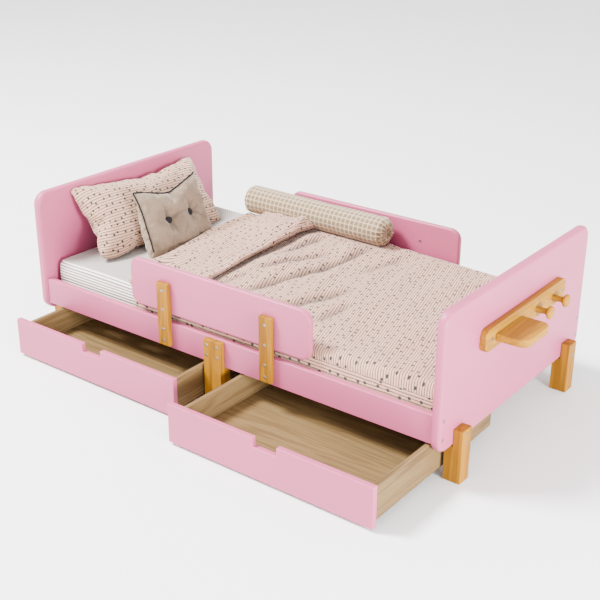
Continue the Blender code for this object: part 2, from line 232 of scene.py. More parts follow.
def plated():
    """Zinc-plated steel, brushed and a little tarnished."""
    made, nt = material("zinc_screw", metallic=1.0)
    place = coordinates(nt)
    cloud = cloudy(nt, place, 240.0, 4.0, 0.3, 0.75)
    return looks(made, blend(nt, cloud, (0.30, 0.33, 0.39), (0.17, 0.19, 0.23)),
                 bump(nt, grainy(nt, place, 1500.0, 3.0), 0.0002, 0.3),
                 linear(nt, cloud, 0.2, 0.28))


def floor_finish():
    made, nt = material("studio_floor", roughness=0.9)
    cloud = grainy(nt, coordinates(nt), 1.5, 3.0)
    return looks(made, blend(nt, cloud, (0.93, 0.93, 0.93), (0.90, 0.90, 0.90)))


# -------- fabrics

RIB_PITCH = 0.0088
CHECK_PITCH = 0.0165
DUVET_STRIPE = 0.0072
PILLOW_STRIPE = 0.0092
# Painted shade: the colour laid on fabrics down in their creases and under the flap's loose edge.
FOLD_SHADE_COLOUR = (0.045, 0.028, 0.021)


def cloth_place(nt):
    """The cloth's own coordinates in metres, and the same as U and V."""
    place = node(nt, "UVMap", uv_map="cloth").outputs["UV"]
    axes = node(nt, "SeparateXYZ", {0: place}).outputs
    return place, axes[0], axes[1]


def weave(nt, u, v, threads):
    """Height of a plain weave with that many threads to the metre."""
    over = maths(nt, "SINE", times(nt, u, threads * pi))
    under = maths(nt, "SINE", times(nt, v, threads * pi))
    return times(nt, over, under)


def stripes(nt, value, pitch, share, soft=0.25):
    """1 on a stripe that takes that share of each pitch, 0 between."""
    phase = maths(nt, "PINGPONG", times(nt, value, 2.0 / pitch), 1.0)
    return ramp(nt, phase, 1.0 - share - soft / 2, 1.0 - share + soft / 2)


def with_fold_shade(nt, tint, depth):
    """Painted shade: darken a fabric down in its folds, as much as the mesh marks each point."""
    mark = node(nt, "Attribute", attribute_name="fold_shade").outputs["Fac"]
    return tinge(nt, tint, mark, depth, FOLD_SHADE_COLOUR)


def striped_fabric(name, pitch, base, line, dot_pitch, dot_size):
    """Cream cotton with fine hand-drawn stripes across U and scattered small dark dots."""
    made, nt = material(name, roughness=0.92, sheen_weight=0.25, sheen_roughness=0.5)
    place, u, v = cloth_place(nt)
    drift = times(nt, grainy(nt, place, 28.0, 2.0), 0.0035)
    lines = stripes(nt, maths(nt, "ADD", u, drift), pitch, 0.42)
    broken = cloudy(nt, place, 160.0, 3.0, 0.30, 0.52)
    lines = times(nt, lines, linear(nt, broken, 0.45, 0.55))
    spots = node(nt, "TexVoronoi", {"Vector": place, "Scale": 1.0 / dot_pitch, "Randomness": 0.62},
                 feature="F1", voronoi_dimensions="2D").outputs["Distance"]
    radius = dot_size / dot_pitch
    spots = ramp(nt, spots, radius * 1.15, radius * 0.85)
    tint = tinge(nt, base, lines, 0.95, line)
    tint = tinge(nt, tint, cloudy(nt, place, 14.0, 4.0, 0.3, 0.75), 0.12, shaded(base, 0.8))
    tint = tinge(nt, tint, spots, 0.98, (0.008, 0.007, 0.008))
    normal = bump(nt, weave(nt, u, v, 1100.0), 0.0003, 0.25)
    normal = bump(nt, grainy(nt, place, 90.0, 5.0, 0.6), 0.004, 0.22, normal)
    # Painted shade darkens the cotton where the mesh marks its folds.
    return looks(made, with_fold_shade(nt, tint, 0.55), bump(nt, lines, 0.0012, 0.35, normal))


def sheet_fabric():
    """The fitted sheet: off-white jersey, with ribs across V where U is 1, on the sides."""
    made, nt = material("sheet_cotton", roughness=0.93, sheen_weight=0.2)
    place, u, v = cloth_place(nt)
    ribs = stripes(nt, v, RIB_PITCH, 0.42, 0.30)
    shade = linear(nt, ramp(nt, u, -0.5, 0.5), 0.85, 0.08)
    # The top of the sheet is coloured much darker than its sides.
    ground = blend(nt, u, (0.43, 0.40, 0.37), (0.90, 0.83, 0.75))
    tint = blend(nt, times(nt, ribs, shade), ground, (0.13, 0.095, 0.075))
    tint = tinge(nt, tint, cloudy(nt, place, 9.0, 4.0, 0.3, 0.8), 0.15, (0.36, 0.32, 0.28))
    normal = bump(nt, weave(nt, u, v, 1400.0), 0.0003, 0.25)
    return looks(made, tint, bump(nt, grainy(nt, place, 60.0), 0.003, 0.15, normal))


def velvet_fabric(name, pale, dark):
    """Short-pile velvet whose nap is brushed light and dark in patches."""
    made, nt = material(name, sheen_weight=0.7, sheen_roughness=0.35)
    place = coordinates(nt)
    nap = grainy(nt, place, 24.0, 5.0, 0.6, 0.6)
    pile = grainy(nt, place, 1500.0, 3.0)
    tint = blend(nt, ramp(nt, nap, 0.3, 0.75), pale, dark)
    tint = tinge(nt, tint, pile, 0.25, shaded(dark, 0.6))
    # Painted shade darkens the velvet where the mesh marks its creases.
    return looks(made, with_fold_shade(nt, tint, 0.7), bump(nt, pile, 0.0006, 0.35),
                 linear(nt, nap, 0.2, 0.7))


def checked_fabric():
    """Beige gingham: crossing bands give three tones, each thread a little different."""
    made, nt = material("gingham_linen", roughness=0.92, sheen_weight=0.25)
    place, u, v = cloth_place(nt)
    along = stripes(nt, u, CHECK_PITCH, 0.74)
    round_it = stripes(nt, v, CHECK_PITCH, 0.74)
    either = times(nt, maths(nt, "ADD", along, round_it), 0.2)
    depth = linear(nt, times(nt, along, round_it), 0.6, either)
    slub = linear(nt, grainy(nt, place, 420.0, 3.0), 0.5, 0.7)
    tint = blend(nt, times(nt, depth, slub), (0.49, 0.37, 0.23), (0.165, 0.108, 0.053))
    normal = bump(nt, weave(nt, u, v, 900.0), 0.0004, 0.35)
    return looks(made, tint, bump(nt, grainy(nt, place, 70.0), 0.003, 0.2, normal))


# -------- mesh helpers

BACKWARDS = [0, 3, 2, 1]


def piece(name, points, faces, material, pattern=None):
    """Make a smooth object; pattern gives each point's place on the cloth."""
    mesh = bpy.data.meshes.new(name)
    mesh.from_pydata([tuple(p) for p in points], [], [tuple(f) for f in faces])
    mesh.materials.append(material)
    if pattern is not None:
        layer = mesh.uv_layers.new(name="cloth")
        corner = np.empty(len(mesh.loops), dtype=np.int32)
        mesh.loops.foreach_get("vertex_index", corner)
        layer.data.foreach_set("uv", np.asarray(pattern, np.float32)[corner].ravel())
    mesh.shade_smooth()
    return new_object(name, mesh)


def new_object(name, data):
    made = bpy.data.objects.new(name, data)
    bpy.context.scene.collection.objects.link(made)
    return made


def points_of(thing):
    flat = np.empty(len(thing.data.vertices) * 3, np.float32)
    thing.data.vertices.foreach_get("co", flat)
    return flat.reshape(-1, 3).astype(float)


def set_points(thing, points):
    thing.data.vertices.foreach_set("co", np.asarray(points, np.float32).ravel())
    thing.data.update()


def mark_fold_shade(thing, depth):
    """Store how much painted shade each point of the fabric takes, from 0 to 1."""
    mark = thing.data.attributes.new("fold_shade", "FLOAT", "POINT")
    mark.data.foreach_set("value", depth.astype(np.float32))


def cells(grid):
    """The corners of each cell of a grid of point numbers, in turn."""
    return np.stack([grid[:-1, :-1], grid[1:, :-1], grid[1:, 1:], grid[:-1, 1:]], -1)


def wrapped(rings):
    """Rings of point numbers, each closed by its first point."""
    return np.column_stack([rings, rings[:, 0]])


def ring_faces(rings, sides):
    """Quads between rings of points that follow each other, and a cap at each end."""
    numbers = np.arange(rings * sides).reshape(rings, sides)
    return [numbers[0, ::-1], *cells(wrapped(numbers))[..., BACKWARDS].reshape(-1, 4), numbers[-1]]


def padded_sheet(middle, normal, half):
    """Points and faces of a closed pad round a middle surface; half is 0 along its rim."""
    rows, columns = half.shape
    top = np.arange(rows * columns).reshape(rows, columns)
    under = top.copy()
    inner = (rows - 2) * (columns - 2)
    under[1:-1, 1:-1] = rows * columns + np.arange(inner).reshape(rows - 2, columns - 2)
    lift = normal * half[..., None]
    points = np.concatenate([(middle + lift).reshape(-1, 3),
                             (middle - lift)[1:-1, 1:-1].reshape(-1, 3)])
    faces = np.stack([cells(top), cells(under)[..., BACKWARDS]], 2).reshape(-1, 4)
    return points, faces, top, under


def both_sides(values):
    """Repeat a grid's values for the points that padded_sheet makes."""
    inside = values[1:-1, 1:-1].reshape(-1, values.shape[-1])
    return np.concatenate([values.reshape(-1, values.shape[-1]), inside])


def grade(start, stop, step, fine=(0.001, 0.003, 0.006, 0.011), last=True):
    """Places from start to stop, closer together at the ends that are rims."""
    head = [0.0, *fine]
    tail = [0.0, *fine] if last else [0.0]
    length = abs(stop - start)
    count = max(1, round((length - head[-1] - tail[-1]) / step))
    middle = np.linspace(head[-1], length - tail[-1], count + 1)
    run = np.concatenate([head[:-1], middle, [length - t for t in tail[-2::-1]]])
    return start + np.sign(stop - start) * run


def rounding(distance, radius):
    """How full a pad is at a distance from its rim: 0 at the rim, 1 past the radius."""
    inside = np.clip(1 - distance / radius, 0, 1)
    return np.sqrt(1 - inside ** 2)


def ease(value, low, high):
    """Rise smoothly from 0 at low to 1 at high."""
    t = np.clip((value - low) / (high - low), 0, 1)
    return t * t * (3 - 2 * t)


def soft_noise(points, size, seed):
    """Smooth noise from about -1 to 1 at each point, for waves of about that size."""
    shift = Vector((seed * 7.13, seed * 3.71, seed * 1.93))
    return np.array([noise.fractal(Vector(p) / size + shift, 1.0, 2.0, 3) for p in points])


def ridges(x, y, seed, lean, length, width):
    """Long soft folds: 0 in the valleys and 1 on the crests."""
    shift = Vector((seed * 5.3, seed * 2.9, seed * 1.1))
    out = np.empty(x.shape)
    for index in np.ndindex(x.shape):
        a, b = x[index], y[index]
        spot = Vector(((a + lean * b) / width, (b - lean * a) / length, 0.0)) + shift
        out[index] = 1 - abs(noise.noise(spot) * 2.6)
    return ease(out, 0, 1)


def groove(x, y, line, width):
    """A soft valley along a line of points: 1 at its bottom, fading out at both ends."""
    best = np.zeros(x.shape)
    past = 0.15
    steps = len(line) - 1
    for number, (start, stop) in enumerate(zip(line, line[1:])):
        run = np.array(stop) - np.array(start)
        t = ((x - start[0]) * run[0] + (y - start[1]) * run[1]) / (run @ run)
        t = np.clip(t, -past if number == 0 else 0.0, 1 + past if number == steps - 1 else 1.0)
        gap = np.hypot(x - start[0] - t * run[0], y - start[1] - t * run[1])
        along = (number + t) / steps
        fade = ease(along, -past, 0.2) * ease(along, 1 + past, 0.75)
        best = np.maximum(best, np.exp(-(gap / width) ** 2) * fade)
    return best


def swell(cloth_piece, frames, pressure, growth, limit, bending, seam, held=None):
    """Let a closed piece fill out and wrinkle as stuffed cloth, and keep the result."""
    scene = bpy.context.scene
    before = points_of(cloth_piece)
    simulation = cloth_piece.modifiers.new("swell", "CLOTH")
    cloth = simulation.settings
    settings = {"quality": 5, "mass": 0.2, "air_damping": 2.0, "tension_stiffness": 12.0,
                "compression_stiffness": 12.0, "shear_stiffness": 6.0, "bending_stiffness": bending,
                "use_pressure": True, "uniform_pressure_force": pressure,
                "shrink_min": -growth, "shrink_max": 0.0}
    for key, value in settings.items():
        setattr(cloth, key, value)
    cloth.effector_weights.gravity = 0
    simulation.collision_settings.use_collision = False
    if held is not None:
        cloth_piece.vertex_groups.new(name="held").add([int(v) for v in held], 1.0, "REPLACE")
        cloth.vertex_group_mass = "held"
    cloth_piece.vertex_groups.new(name="seam").add([int(v) for v in seam], 1.0, "REPLACE")
    cloth.vertex_group_shrink = "seam"
    for moment in range(1, frames + 1):
        scene.frame_set(moment)
    shown = cloth_piece.evaluated_get(bpy.context.evaluated_depsgraph_get())
    after = points_of(shown)
    cloth_piece.modifiers.remove(simulation)
    cloth_piece.vertex_groups.clear()
    scene.frame_set(1)
    move = after - before
    length = np.linalg.norm(move, axis=1, keepdims=True) + 1e-9
    set_points(cloth_piece, before + move / length * limit * np.tanh(length / limit))


def subdivide(thing):
    made = thing.modifiers.new("fine", "SUBSURF")
    made.levels = 1
    made.render_levels = 1
    made.uv_smooth = "PRESERVE_BOUNDARIES"


def tube(name, path, radius, material):
    """A round cord along a path of points that starts level."""
    sides = 8
    ahead = np.gradient(path, axis=0)
    ahead /= np.linalg.norm(ahead, axis=1, keepdims=True)
    points = []
    side = Vector((0.0, 0.0, 1.0)).cross(Vector(ahead[0]))
    for place, direction in zip(path, ahead):
        direction = Vector(direction)
        side = (side - direction * side.dot(direction)).normalized()
        up = direction.cross(side)
        for a in turns(sides):
            points.append(Vector(place) + radius * (cos(a) * side + sin(a) * up))
    return piece(name, points, ring_faces(len(path), sides), material)


def turns(sides):
    return [2 * pi * k / sides for k in range(sides)]


def facing(normal):
    """A turn that takes +Z to a direction."""
    return Vector(normal).to_track_quat("Z", "Y").to_matrix()


# -------- carried-over boards

def dress_boards(finish_for):
    """Give each shown CAD node its finish, and shade its eased edges softly."""
    for name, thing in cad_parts.items():
        slot_name = thing.data.materials[0].name.split(".")[0]
        thing.data.materials[0] = finish_for(name, slot_name)
        thing.data.shade_smooth()
        old_normals = thing.data.attributes.get("custom_normal")
        if old_normals:
            thing.data.attributes.remove(old_normals)
        joined = thing.modifiers.new("one_skin", "WELD")
        joined.merge_threshold = 0.00001
        shaded_edges = thing.modifiers.new("soft_edges", "WEIGHTED_NORMAL")
        shaded_edges.keep_sharp = False


# -------- fasteners

SCREW_RADIUS = 0.0042
SCREW_HEIGHT = 0.0011
SCREW_SUNK = -0.0015
SOCKET_FLOOR = -0.0004
POST_SCREW_HEIGHTS = (0.303, 0.246, 0.187, 0.1525)
LEG_SCREW_HEIGHTS = (0.136, 0.1125)
CENTRE_LEG_SCREW_HEIGHTS = (0.188, 0.157)
CENTRE_LEG_SCREW_SIDE = 0.0183
GUARD_SCREW_HEIGHT = 0.309
GUARD_SCREW_SIDE = 0.183
END_BOLT_HEIGHTS = (0.194, 0.142)
END_BOLT_SIDE = 0.373
RACK_SCREW_HEIGHT = 0.3465
RACK_SCREW_SIDE = 0.192
DRAWER_SCREW_HEIGHTS = (0.045, 0.100)
DRAWER_SCREW_BACK = 0.26585


def screw_head(radius, height):
    """Points and faces of a low domed head with a hexagon socket, facing +Z."""
    sides = 24

    def socket(a):
        return 0.48 / cos((a + pi / 6) % (pi / 3) - pi / 6)

    rings = [(lambda a: 1.0, SCREW_SUNK), (lambda a: 1.0, height * 0.35),
             (lambda a: 0.93, height * 0.8), (lambda a: 0.75, height),
             (socket, height * 0.97), (lambda a: socket(a) * 0.94, SOCKET_FLOOR)]
    points = [(radius * r(a) * cos(a), radius * r(a) * sin(a), z)
              for r, z in rings for a in turns(sides)]
    return points, ring_faces(len(rings), sides)


def screws(name, board, out, sides, heights, metal, body=BODY, size=1.0):
    """Screw heads in one face of a board, to each side of its middle and at each height."""
    low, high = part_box(board)
    out = Vector(out)
    face = (low + high + Vector(o * (h - w) for o, w, h in zip(out, low, high))) / 2
    across = Vector((abs(out.y), abs(out.x), 0))
    head, head_faces = screw_head(SCREW_RADIUS * size, SCREW_HEIGHT)
    points, faces = [], []
    for side in sides:
        for z in heights:
            start = len(points)
            place = Vector((*(face + across * side).xy, z))
            points += [facing(out) @ Vector(p) + place for p in head]
            faces += [tuple(i + start for i in f) for f in head_faces]
    made = piece(name, points, faces, metal)
    made.data.set_sharp_from_angle(angle=radians(35))
    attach(made, body)


def both(side):
    return (-side, side)


def bed_fasteners(metal):
    """Screws of the posts, legs, guard panels and rack, and bolt caps of the end panels."""
    for side, out in (("front", -1), ("back", 1)):
        away = (0, out, 0)
        for end in ("head", "foot"):
            post = f"{side}_guard_post_{end}"
            screws(post + "_screws", post, away, (0,), POST_SCREW_HEIGHTS, metal)
        leg = f"{side}_centre_leg"
        screws(leg + "_screws", leg, away, both(CENTRE_LEG_SCREW_SIDE), CENTRE_LEG_SCREW_HEIGHTS, metal)
        screws(f"{side}_guard_inner_screws", f"{side}_guard_panel", (0, -out, 0),
               both(GUARD_SCREW_SIDE), (GUARD_SCREW_HEIGHT,), metal, size=1.1)
    for end, out in (("head", -1), ("foot", 1)):
        away = (out, 0, 0)
        for side in ("front", "back"):
            leg = f"{end}_{side}_leg"
            screws(leg + "_screws", leg, away, (0,), LEG_SCREW_HEIGHTS, metal)
        screws(f"{end}_panel_bolts", f"{end}board_panel", away, both(END_BOLT_SIDE),
               END_BOLT_HEIGHTS, metal, size=1.25)
    screws("rack_screws", "rack_backplate", (1, 0, 0), both(RACK_SCREW_SIDE),
           (RACK_SCREW_HEIGHT,), metal)


def drawer_fasteners(metal):
    """Screws through each side board of a drawer into the end of its back board."""
    for drawer in ("left_drawer", "right_drawer"):
        for side, out in (("left", -1), ("right", 1)):
            screws(f"{drawer}_{side}_screws", f"{drawer}_{side}_side", (out, 0, 0),
                   (DRAWER_SCREW_BACK,), DRAWER_SCREW_HEIGHTS, metal, body=drawer, size=0.8)


# -------- mattress

MATTRESS_CORNER = 0.020
MATTRESS_EDGE = 0.016
MATTRESS_STEP = 0.012
RIB_HEIGHT = 0.0018
SIDE_BULGE = 0.003
SIDE_INSET = 0.004
TOP_REACH = 0.300
TOP_SLACK = 0.0012


def mattress_outline(inner):
    """Points round the centres of the rounded corners, each with its way outwards."""
    ring = []
    for start, (sx, sy) in enumerate(((1, 1), (-1, 1), (-1, -1), (1, -1))):
        for i in range(10):
            a = (start + i / 9) * pi / 2
            ring.append((sx * inner[0], sy * inner[1], cos(a), sin(a)))
    ring = np.array(ring)
    outline = []
    for here, after in zip(ring, np.roll(ring, -1, 0)):
        count = max(1, int(np.hypot(*(after - here)[:2]) / MATTRESS_STEP))
        for k in range(count):
            outline.append((*(here[:2] + (after - here)[:2] * k / count), *here[2:]))
    return np.array(outline)


def mattress_levels(bottom, top):
    """Each ring of the cover: how far it stands out, its height and the way along the cloth."""
    height = top - bottom
    levels = []
    for z in np.linspace(0, height - MATTRESS_EDGE, 61):
        rib = RIB_HEIGHT * abs(sin(pi * z / RIB_PITCH)) if z > 0.006 else 0
        levels.append((rib + SIDE_BULGE * sin(pi * z / height) - SIDE_INSET, bottom + z, z))
    for a in np.linspace(0, pi / 2, 9)[1:]:
        levels.append((-SIDE_INSET - MATTRESS_EDGE * (1 - cos(a)), top + MATTRESS_EDGE * (sin(a) - 1),
                       height + MATTRESS_EDGE * (a - 1)))
    inset, _, way = levels[-1]
    rows = int(TOP_REACH / MATTRESS_STEP)
    for reach in TOP_REACH * np.arange(1, rows + 1) / rows:
        levels.append((inset - reach, top, way + reach))
    return levels


def mattress(fabric):
    """A foam mattress in a fitted sheet: ribbed sides, a soft top edge and a slack top."""
    low, high = MATTRESS_LOW, MATTRESS_HIGH
    middle = (low + high) / 2
    inner = np.array(((high - low) / 2).xy) - MATTRESS_CORNER
    outline = mattress_outline(inner)
    outside = outline[:, :2] + outline[:, 2:] * MATTRESS_CORNER
    length = np.append(0, np.cumsum(np.linalg.norm(np.diff(outside, axis=0), axis=1)))
    levels = mattress_levels(low.z, high.z)
    points, pattern = [], []
    for offset, z, way in levels:
        grow = MATTRESS_CORNER + offset
        ring = outline[:, :2] + outline[:, 2:] * max(0.0, grow)
        ring = ring * (1 + min(0.0, grow) / inner)
        points += [(middle.x + x, middle.y + y, z) for x, y in ring]
        on_side = way < high.z - low.z
        pattern += [(float(on_side), way if on_side else along) for along in length]
    points = np.array(points)
    on_top = np.clip((points[:, 2] - high.z + 0.02) / 0.02, 0, 1)
    waves = soft_noise(points, 0.11, 3) * 0.0022 + soft_noise(points, 0.035, 5) * 0.0006
    points[:, 2] += on_top * (np.minimum(waves, TOP_SLACK) - TOP_SLACK)
    made = piece("mattress_in_sheet", points, ring_faces(len(levels), len(outline)), fabric, pattern)
    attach(made, BODY)
    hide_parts("mattress")


# -------- duvet

# Long creases in the duvet: the line that each one follows, its depth and its width
DUVET_CREASES = (
    (((0.071, 0.250), (0.034, 0.050), (-0.066, -0.225)), 0.0160, 0.014),
    (((-0.100, 0.240), (-0.130, 0.060)), 0.0130, 0.011),
    (((-0.020, 0.150), (-0.110, -0.060)), 0.0130, 0.012),
    (((0.188, -0.025), (0.119, -0.190), (0.046, -0.215)), 0.0130, 0.018),
    (((0.245, -0.100), (0.230, -0.240)), 0.0100, 0.013),
    (((0.185, 0.250), (0.150, 0.110)), 0.0090, 0.015),
    (((-0.120, -0.100), (-0.150, -0.240)), 0.0080, 0.012),
)
# Humps: the place of each one, its height and its width
DUVET_HUMPS = ((-0.145, 0.220, 0.011, 0.060), (0.015, 0.225, 0.014, 0.050),
               (-0.050, 0.02, 0.007, 0.060))
DUVET_STEP = 0.008
DUVET_TUCK = 0.012
DUVET_RIM = 0.010
PUFF_EDGE = 0.0135
PUFF_MIDDLE = 0.015
PUFF_LEAST = 0.009
UNDER_BOLSTER = 0.040
UNDER_FLAP = 0.0185
FLAP_THICK = 0.0185
FLAP_GAPE = 0.007
FLAP_DROOP = 0.004
FLAP_FRONT, FLAP_BACK = -0.343, 0.282
STRIPE_TURN = radians(-15)
DROP_STRETCH = 0.78
SEAM_BELOW_BEND = 0.0155
STILL_BELOW = 0.236

# Across the bed: up out of the tuck, over the edge of the mattress, and down again
HEM = DUVET_LOW.z + 0.002
FOOT_EDGE = DUVET_HIGH.x - MIDDLE.x - 0.001
FOLD = DUVET_LOW.x - MIDDLE.x + 0.016
BEND = 0.016
CURVE = BEND * pi / 2
FLAT = (MATTRESS_HIGH.y - MATTRESS_LOW.y) / 2 + 0.0015 - BEND
HALF_RUN = (ON_MATTRESS - BEND - HEM) + CURVE + FLAT
HALF_GRADE = grade(HALF_RUN, 0, DUVET_STEP, last=False)
RUN = np.concatenate([-HALF_GRADE, HALF_GRADE[-2::-1]])
AWAY = np.abs(RUN)
ANGLE = np.clip((AWAY - FLAT) / BEND, 0, pi / 2)
OVER_Y = np.sign(RUN) * (np.minimum(AWAY, FLAT) + BEND * np.sin(ANGLE))
OVER_Z = ON_MATTRESS - BEND * (1 - np.cos(ANGLE)) - np.clip(AWAY - FLAT - CURVE, 0, None)
OVER_NY, OVER_NZ = np.sign(RUN) * np.sin(ANGLE), np.cos(ANGLE)
FLAP_Y = FLAP_FRONT + (RUN + HALF_RUN) / (2 * HALF_RUN) * (FLAP_BACK - FLAP_FRONT)
FLAP_NY = np.where(FLAP_Y < -0.30, (FLAP_Y + 0.30) / 0.06, 0.0)
MAIN_ROWS = grade(FOOT_EDGE, FOLD, DUVET_STEP, last=False)
FOLD_ROWS = np.linspace(0, pi, 10)[1:-1]
FLAP_ROWS = np.concatenate([np.linspace(0, 1, 27)[1:-1], [0.975, 0.988, 0.996, 1.0]])


def fold_shift(y):
    """How far the fold lies towards the foot of the bed, nearer the front."""
    return 0.030 * ease(y, 0.09, -0.18) + 0.042 * ease(y, -0.22, -0.345)


def free_edge(y):
    """Where the loose edge of the flap lies."""
    return -0.166 + 0.018 * ease(y, 0.10, 0.25)


def duvet_thickness(x, y):
    """Full in the middle, thin at the foot and front, with folds, creases and humps."""
    puff = PUFF_EDGE + PUFF_MIDDLE * ease(x, 0.62, 0.05) * ease(y, -0.34, 0.02)
    puff += 0.004 * ease(x, 0.30, -0.15) + 0.003 * ease(y, 0.05, 0.25)
    near_head = ease(x, 0.40, 0.0) * ease(y, -0.34, -0.1)
    puff += 0.005 * near_head * (ridges(x, y, 2, 0.20, 0.30, 0.050) - 0.5)
    puff += 0.006 * (ridges(x, y, 6, 0.10, 0.24, 0.11) - 0.5) * ease(np.abs(y), 0.36, 0.28)
    for line, depth, width in DUVET_CREASES:
        puff -= depth * groove(x, y, line, width)
    for hump_x, hump_y, height, width in DUVET_HUMPS:
        puff += height * np.exp(-((x - hump_x) ** 2 + (y - hump_y) ** 2) / width ** 2)
    puff = np.maximum(puff, PUFF_LEAST)
    under_flap = ease(x, -0.13, -0.20)
    covered = UNDER_FLAP + 0.015 * ease(y, 0.0, 0.22) * ease(x, -0.42, -0.30)
    puff = puff * (1 - under_flap) + covered * under_flap
    under_bolster = ease(y, 0.245, 0.275) * ease(x, 0.14, 0.08) * ease(x, -0.39, -0.32)
    return puff * (1 - under_bolster) + UNDER_BOLSTER * under_bolster


def across_bed(flap_share):
    """Places and outward directions across one row, from over the sides to flat as the flap."""
    y = OVER_Y * (1 - flap_share) + FLAP_Y * flap_share
    z = OVER_Z * (1 - flap_share) + (ON_MATTRESS - 0.02 * FLAP_NY ** 2) * flap_share
    ny = OVER_NY * (1 - flap_share) + FLAP_NY * 0.8 * flap_share
    nz = OVER_NZ * (1 - flap_share) + flap_share
    size = np.sqrt(ny ** 2 + nz ** 2)
    return y, z, ny / size, nz / size


def duvet_rim(distance_along):
    return rounding(np.minimum(HALF_RUN - AWAY, distance_along), DUVET_RIM)


def stacked(*parts):
    return np.stack(parts, 1)


def main_rows():
    """Middle, normal, half thickness and cloth place of each row from the foot to the fold."""
    for row_x in MAIN_ROWS:
        join = np.where(RUN < 0, ease(row_x, FOLD + 0.014, FOLD), ease(row_x, -0.27, FOLD))
        y, z, ny, nz = across_bed(join)
        x = row_x + fold_shift(y) * ease(row_x, -0.05, FOLD)
        down = ease(AWAY, FLAT - 0.01, FLAT + CURVE) * (1 - join)
        thick = duvet_thickness(x, y) * (1 - down) + DUVET_TUCK * down
        yield (stacked(x, y + ny * thick / 2, z + nz * thick / 2), stacked(0 * y, ny, nz),
               thick / 2 * duvet_rim(FOOT_EDGE - row_x),
               stacked(FOOT_EDGE - x, RUN * (1 - join) + y * join))


def turned_rows():
    """The same for the fold, where the duvet turns back, and for the flap."""
    y, z, ny, nz = across_bed(1.0)
    crease_x = FOLD + fold_shift(y)
    path = FOOT_EDGE - crease_x
    thick = duvet_thickness(crease_x, y)
    full_rim = duvet_rim(1.0)
    sheet = FLAP_THICK * (0.35 + 0.65 * full_rim)
    span = thick / 2 + sheet / 2 + 0.0006
    r = span / 2
    for a in FOLD_ROWS:
        up = thick / 2 + r * (1 - cos(a))
        half = np.minimum(thick * (1 - a / pi) + sheet * a / pi, 2 * r - 0.0014) / 2 * full_rim
        yield (stacked(crease_x - r * sin(a), y + ny * up, z + nz * up),
               stacked(sin(a) + 0 * y, ny * cos(a), nz * cos(a)), half, stacked(path + a * r, y))

    path = path + pi * float(span.mean()) / 2
    wander = np.array([noise.noise(Vector((v * 9.0, 4.2, 0.7))) for v in y])
    reach = free_edge(y) + 0.006 * wander - crease_x
    for t in FLAP_ROWS:
        x = crease_x + reach * t
        lean_y = y + 0.012 * t * ease(y, 0.12, 0.25)
        lift = 0.005 * ease(t, 0.30, 0.85) + 0.022 * ease(y, 0.0, 0.20) * ease(t, 0.0, 0.5)
        lift *= 1 - 0.3 * ease(t, 0.80, 1.0)
        pleats = ridges(x, lean_y, 9, 0.07, 0.30, 0.026) ** 1.3 * ease(t, 0.55, 0.85)
        crest = ridges(x, lean_y, 4, 0.16, 0.26, 0.075)
        rumple = (0.010 * (crest - 0.5) + 0.009 * (pleats - 0.3)) * ease(y, -0.34, -0.2)
        puff = FLAP_THICK + lift + rumple
        end = rounding(reach * (1 - t), 0.015)
        gape = FLAP_GAPE * ease(t, 0.80, 1.0) * ease(y, -0.14, 0.03) * ease(y, 0.27, 0.16)
        up = duvet_thickness(x, lean_y) + 0.0008 + gape + puff / 2
        droop = FLAP_DROOP * ease(t, 0.93, 1.0)
        # the pattern leaves the fold as it came, and ends parallel to the loose edge
        beside_lip = float(np.mean(path) + np.mean(reach) * t) - lean_y * tan(STRIPE_TURN)
        turned_over = ease(t, 0.0, 0.4)
        pattern = (path + x - crease_x) * (1 - turned_over) + beside_lip * turned_over
        yield (stacked(x, lean_y + ny * up, z + nz * up - droop), stacked(0 * y, -ny, -nz),
               puff / 2 * np.minimum(full_rim, end),
               stacked(pattern + puff / 2 * (1 - end), lean_y))


def stripe_the_drop(made, place, top, under):
    """Turn the pattern of the drop at the front, which is cut with its stripes along the bed."""
    first_top = int(np.argmax(RUN > -(FLAT + CURVE + SEAM_BELOW_BEND)))
    dropped = np.zeros(len(place), bool)
    for grid in (top, under):
        dropped[grid[:len(MAIN_ROWS), :first_top + 1]] = True
    layer = made.data.uv_layers["cloth"]
    for face in made.data.polygons:
        if all(dropped[v] for v in face.vertices):
            for loop in face.loop_indices:
                a, b = place[made.data.loops[loop].vertex_index]
                layer.data[loop].uv = (b * DROP_STRETCH, a * DROP_STRETCH)


def duvet_fold_shade(points, top, under):
    """How much painted shade each point takes: along the creases, and below the flap's loose edge, with
    some on the lip itself.
    """
    x, y = points[:, 0], points[:, 1]
    shade = np.zeros(len(points))
    for line, depth, width in DUVET_CREASES:
        shade = np.maximum(shade, groove(x, y, line, width * 0.9) * depth / 0.010)
    # Painted shadow below the flap's loose edge; the flap's own top takes a lighter share of it.
    share = np.ones(len(points))
    share[top[len(MAIN_ROWS):]] = 0.4
    share[under[len(MAIN_ROWS):]] = 0.0
    below_lip = np.clip(1 - np.abs(x - free_edge(y)) / 0.016, 0, 1)
    return np.maximum(shade * (share == 1), share * below_lip ** 0.7)


